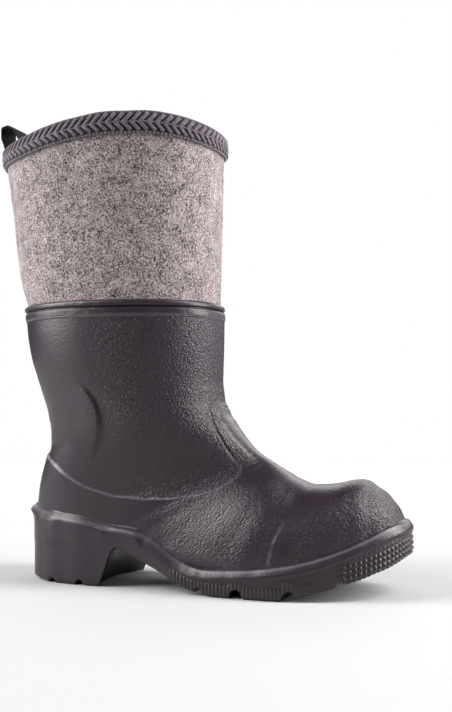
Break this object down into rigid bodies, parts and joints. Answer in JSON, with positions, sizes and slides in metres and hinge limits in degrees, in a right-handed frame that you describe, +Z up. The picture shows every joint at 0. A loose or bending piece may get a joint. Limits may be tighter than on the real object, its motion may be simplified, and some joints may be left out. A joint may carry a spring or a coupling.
{
  "type": "work boot",
  "caption": "Pull-on work boot for the right foot: dark grey moulded EVA foot and sole, grey felt shaft, braided collar binding and a webbing pull loop at the back.",
  "frame": {"origin": "on the floor, under the middle of the bounding box", "axes": "+X towards the toe, +Y towards the medial side (the wearer's left on this right boot), +Z up"},
  "size_m": [0.3402, 0.1434, 0.3703],
  "materials": {
    "eva": "moulded EVA foam, satin, dark warm grey with a fine leathery grain",
    "felt": "pressed wool felt, mottled grey, fuzzy",
    "braid": "herringbone braid tape, dark purple grey",
    "webbing": "woven polyester webbing, black",
    "insole": "needled felt, grey"
  },
  "bodies": {
    "root": {"outsole": "eva", "upper": "eva", "insole": "insole", "joint_band": "eva", "felt_shaft": "felt", "collar_binding": "braid", "pull_loop": "webbing"}
  },
  "joints": []
}
